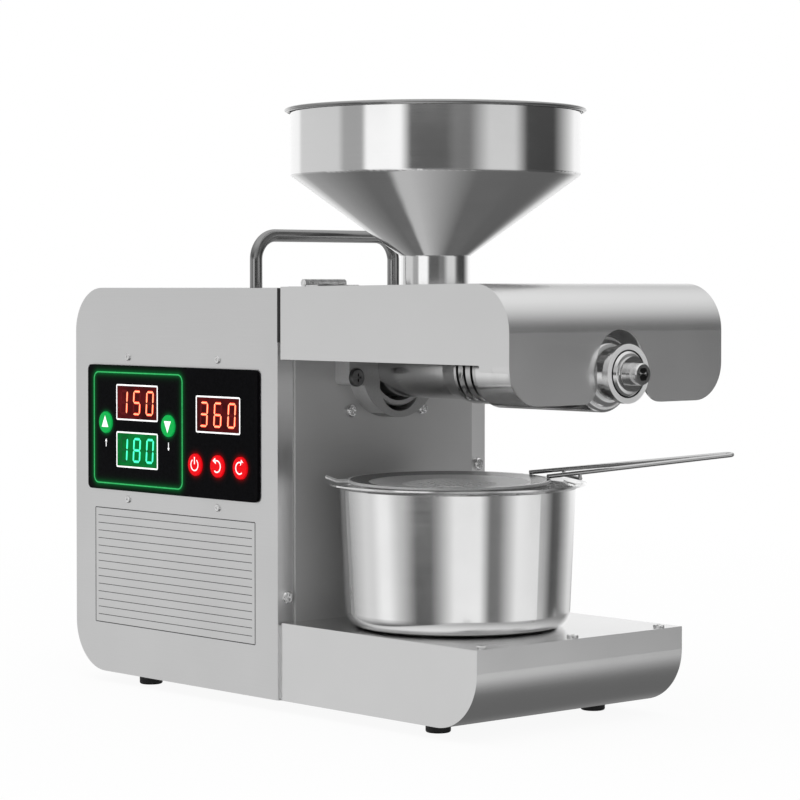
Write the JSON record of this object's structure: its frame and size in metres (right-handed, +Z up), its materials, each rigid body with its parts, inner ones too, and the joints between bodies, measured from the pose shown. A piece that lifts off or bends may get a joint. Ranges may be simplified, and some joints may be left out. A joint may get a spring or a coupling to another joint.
{
  "type": "screw oil press",
  "caption": "Bench screw oil press with a round hopper, a hinged upper cover over a slotted barrel and worm, a control panel on its side, and a pot with a strainer on the base.",
  "frame": {"origin": "on the underside of the bottom plate, on the centre plane, at the seam between the housing and the cover; the feet reach 7 mm below it", "axes": "+X along the press towards its outlet, -Y towards the control side, +Z up"},
  "size_m": [0.4245, 0.2409, 0.3603],
  "materials": {
    "brushed_sheet": "fine horizontal brush",
    "front_sheet": "fine brush, satin",
    "bulkhead_sheet": "satin",
    "hidden_sheet": "plain galvanised",
    "polished_steel": "polished, drawn",
    "turned_steel": "turned, satin",
    "screw_steel": "bright zinc",
    "black_rubber": "matt",
    "gloss_black": "gloss",
    "display_red": "gloss window",
    "key_green": "gloss",
    "key_red": "gloss",
    "circuit_board": "matt",
    "motor_paint": "satin",
    "case_alloy": "cast",
    "gear_steel": "ground",
    "fan_plastic": "matt",
    "black_plastic": "matt",
    "heater_jacket": "dull"
  },
  "bodies": {
    "housing": {"barrel_socket": "turned_steel", "base_screws": "screw_steel", "base_shell": "front_sheet", "base_top_plate": "brushed_sheet", "bottom_plate": "hidden_sheet", "bulkhead": "bulkhead_sheet", "bulkhead_screws": "screw_steel", "cage_drum": "turned_steel", "carry_handle": "polished_steel", "control_board": "circuit_board", "control_fascia": "gloss_black", "control_side_panel": "brushed_sheet", "display_windows": "display_red", "ear_screws": "screw_steel", "far_side_panel": "brushed_sheet", "feet": "black_rubber", "gearbox_bearings": "gear_steel", "gearbox_bolts": "screw_steel", "gearbox_front": "case_alloy", "gearbox_rear": "case_alloy", "handle_nuts": "screw_steel", "head_flange": "turned_steel", "head_screws": "screw_steel", "heater_band": "heater_jacket", "hinge_fixed_leaves": "turned_steel", "hinge_pins": "turned_steel", "housing_wrap": "brushed_sheet", "motor_bells": "case_alloy", "motor_saddle": "hidden_sheet", "motor_stator": "motor_paint", "nose_collar": "turned_steel", "panel_screws": "screw_steel", "power_board": "circuit_board", "power_inlet": "black_plastic", "press_barrel": "turned_steel", "seam_gasket": "black_rubber", "temperature_probe": "turned_steel"},
    "cover": {"upper_cover": "front_sheet", "hinge_cover_leaves": "turned_steel"},
    "hopper": {"hopper": "polished_steel"},
    "rotor": {"motor_rotor": "gear_steel", "cooling_fan": "fan_plastic"},
    "layshaft": {"layshaft": "gear_steel", "first_gear": "gear_steel"},
    "press": {"press_worm": "turned_steel", "output_shaft": "gear_steel", "output_gear": "gear_steel"},
    "pot": {"pot": "polished_steel"},
    "strainer": {"strainer_bowl": "polished_steel", "strainer_mesh": "polished_steel", "strainer_handle": "polished_steel"},
    "key_up": {"key_up": "key_green"},
    "key_down": {"key_down": "key_green"},
    "key_power": {"key_power": "key_red"},
    "key_press": {"key_press": "key_red"},
    "key_clear": {"key_clear": "key_red"}
  },
  "joints": [
    {"name": "cover_hinge", "type": "hinge", "parent": "housing", "child": "cover", "pos_m": [0.0023, 0, 0.2486], "axis": [0, -1, 0], "range_deg": [0, 100]},
    {"name": "hopper_lift", "type": "slide", "parent": "housing", "child": "hopper", "axis": [0, 0, 1], "range_m": [0, 0.34]},
    {"name": "motor_spin", "type": "hinge", "parent": "housing", "child": "rotor", "pos_m": [-0.13, 0, 0.1168], "axis": [1, 0, 0], "continuous": true},
    {"name": "layshaft_spin", "type": "hinge", "parent": "housing", "child": "layshaft", "pos_m": [-0.06, 0, 0.1528], "axis": [1, 0, 0], "continuous": true},
    {"name": "press_spin", "type": "hinge", "parent": "housing", "child": "press", "pos_m": [-0.02, 0, 0.1978], "axis": [1, 0, 0], "continuous": true},
    {"name": "pot_slide", "type": "slide", "parent": "housing", "child": "pot", "axis": [0, -1, 0], "range_m": [0, 0.18]},
    {"name": "strainer_lift", "type": "slide", "parent": "pot", "child": "strainer", "axis": [0, 0, 1], "range_m": [0, 0.03]},
    {"name": "key_up_push", "type": "slide", "parent": "housing", "child": "key_up", "axis": [0, 1, 0], "range_m": [0, 0.0006], "stiffness_N_per_m": 800, "springref_m": -0.0006},
    {"name": "key_down_push", "type": "slide", "parent": "housing", "child": "key_down", "axis": [0, 1, 0], "range_m": [0, 0.0006], "stiffness_N_per_m": 800, "springref_m": -0.0006},
    {"name": "key_power_push", "type": "slide", "parent": "housing", "child": "key_power", "axis": [0, 1, 0], "range_m": [0, 0.0006], "stiffness_N_per_m": 800, "springref_m": -0.0006},
    {"name": "key_press_push", "type": "slide", "parent": "housing", "child": "key_press", "axis": [0, 1, 0], "range_m": [0, 0.0006], "stiffness_N_per_m": 800, "springref_m": -0.0006},
    {"name": "key_clear_push", "type": "slide", "parent": "housing", "child": "key_clear", "axis": [0, 1, 0], "range_m": [0, 0.0006], "stiffness_N_per_m": 800, "springref_m": -0.0006}
  ],
  "couplings": [
    {"joint": "hopper_lift", "follows": "cover_hinge", "m_per_rad": 0.19},
    {"joint": "layshaft_spin", "follows": "motor_spin", "ratio": -0.2},
    {"joint": "press_spin", "follows": "motor_spin", "ratio": 0.04}
  ]
}
